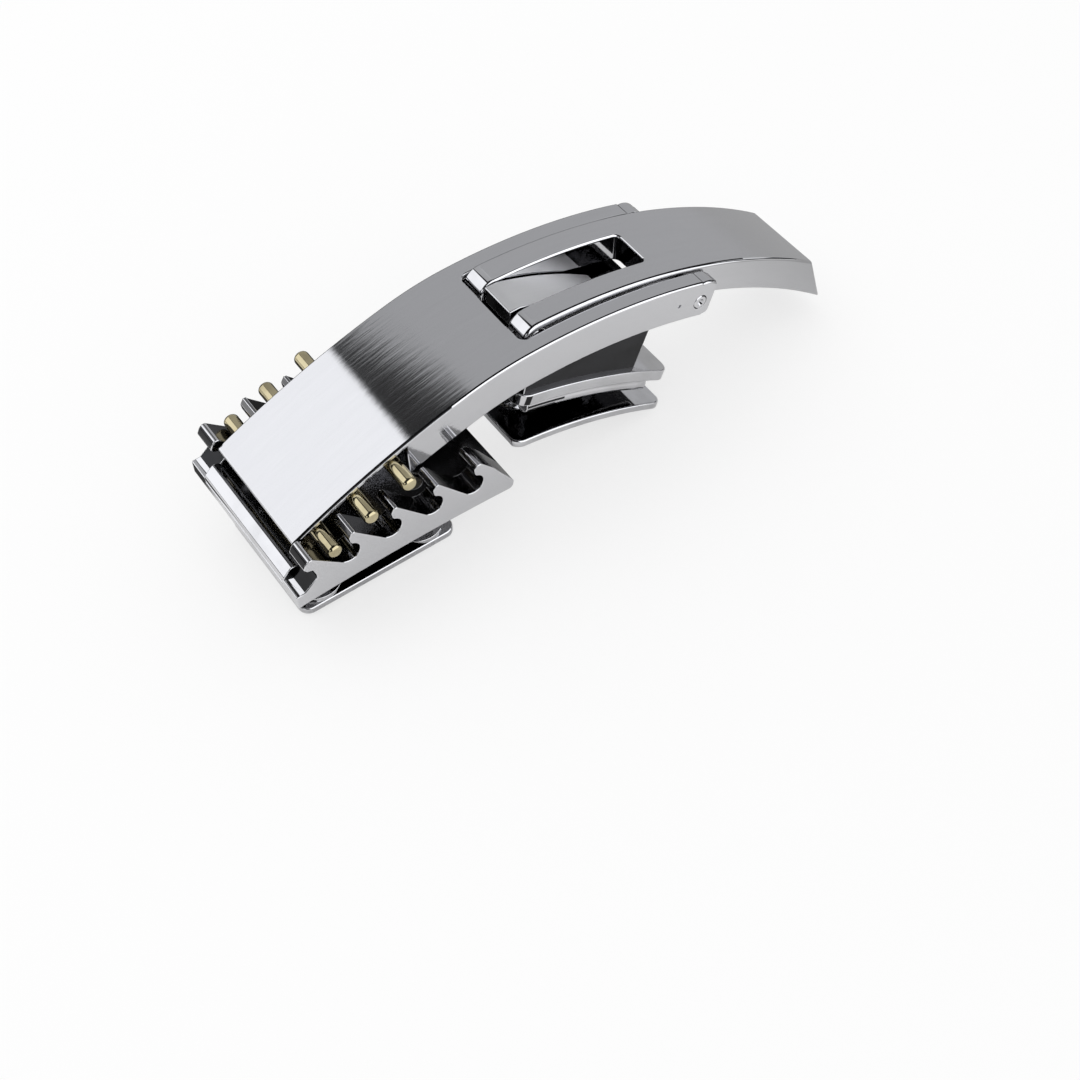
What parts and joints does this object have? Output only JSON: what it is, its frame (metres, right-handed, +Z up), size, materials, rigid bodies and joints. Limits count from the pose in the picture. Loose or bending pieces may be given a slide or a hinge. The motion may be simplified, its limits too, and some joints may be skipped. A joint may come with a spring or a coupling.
{
  "type": "lever belt buckle",
  "caption": "Adjustable lever buckle: curved frame with cross pins hooked in a toothed rack, pivoted lever and screwed clamp plates for both belt ends.",
  "frame": {"origin": "centre of the footprint, on the surface that the buckle lies on", "axes": "+X runs from the toothed rack to the lever's handle, +Z is up with the frame's face on top, +Y is to the left of +X"},
  "size_m": [0.1732, 0.051, 0.0518],
  "materials": {
    "brushed_nickel": "satin brushed",
    "polished_nickel": "mirror polished",
    "brass": "polished",
    "screw_nickel": "satin"
  },
  "bodies": {
    "mount": {"mount": "polished_nickel", "mount_clamp": "polished_nickel", "mount_screw_1": "screw_nickel", "mount_screw_2": "screw_nickel"},
    "lever": {"lever": "brushed_nickel", "mount_pin": "polished_nickel", "lever_pin": "polished_nickel"},
    "frame": {"frame": "brushed_nickel", "rack_pin_1": "brass", "rack_pin_2": "brass", "rack_pin_3": "brass", "rack": "polished_nickel", "rack_clamp": "polished_nickel", "rack_screw_1": "screw_nickel", "rack_screw_2": "screw_nickel", "rack_screw_3": "screw_nickel", "rack_screw_4": "screw_nickel"}
  },
  "joints": [
    {"name": "lever_hinge", "type": "hinge", "parent": "mount", "child": "lever", "pos_m": [-0.0087, 0, 0.04745], "axis": [0, -1, 0], "range_deg": [0, 140]},
    {"name": "frame_hinge", "type": "hinge", "parent": "lever", "child": "frame", "pos_m": [0.03683, 0, 0.03675], "axis": [0, 1, 0], "range_deg": [0, 140]}
  ],
  "couplings": [
    {"joint": "frame_hinge", "follows": "lever_hinge", "ratio": 1}
  ]
}
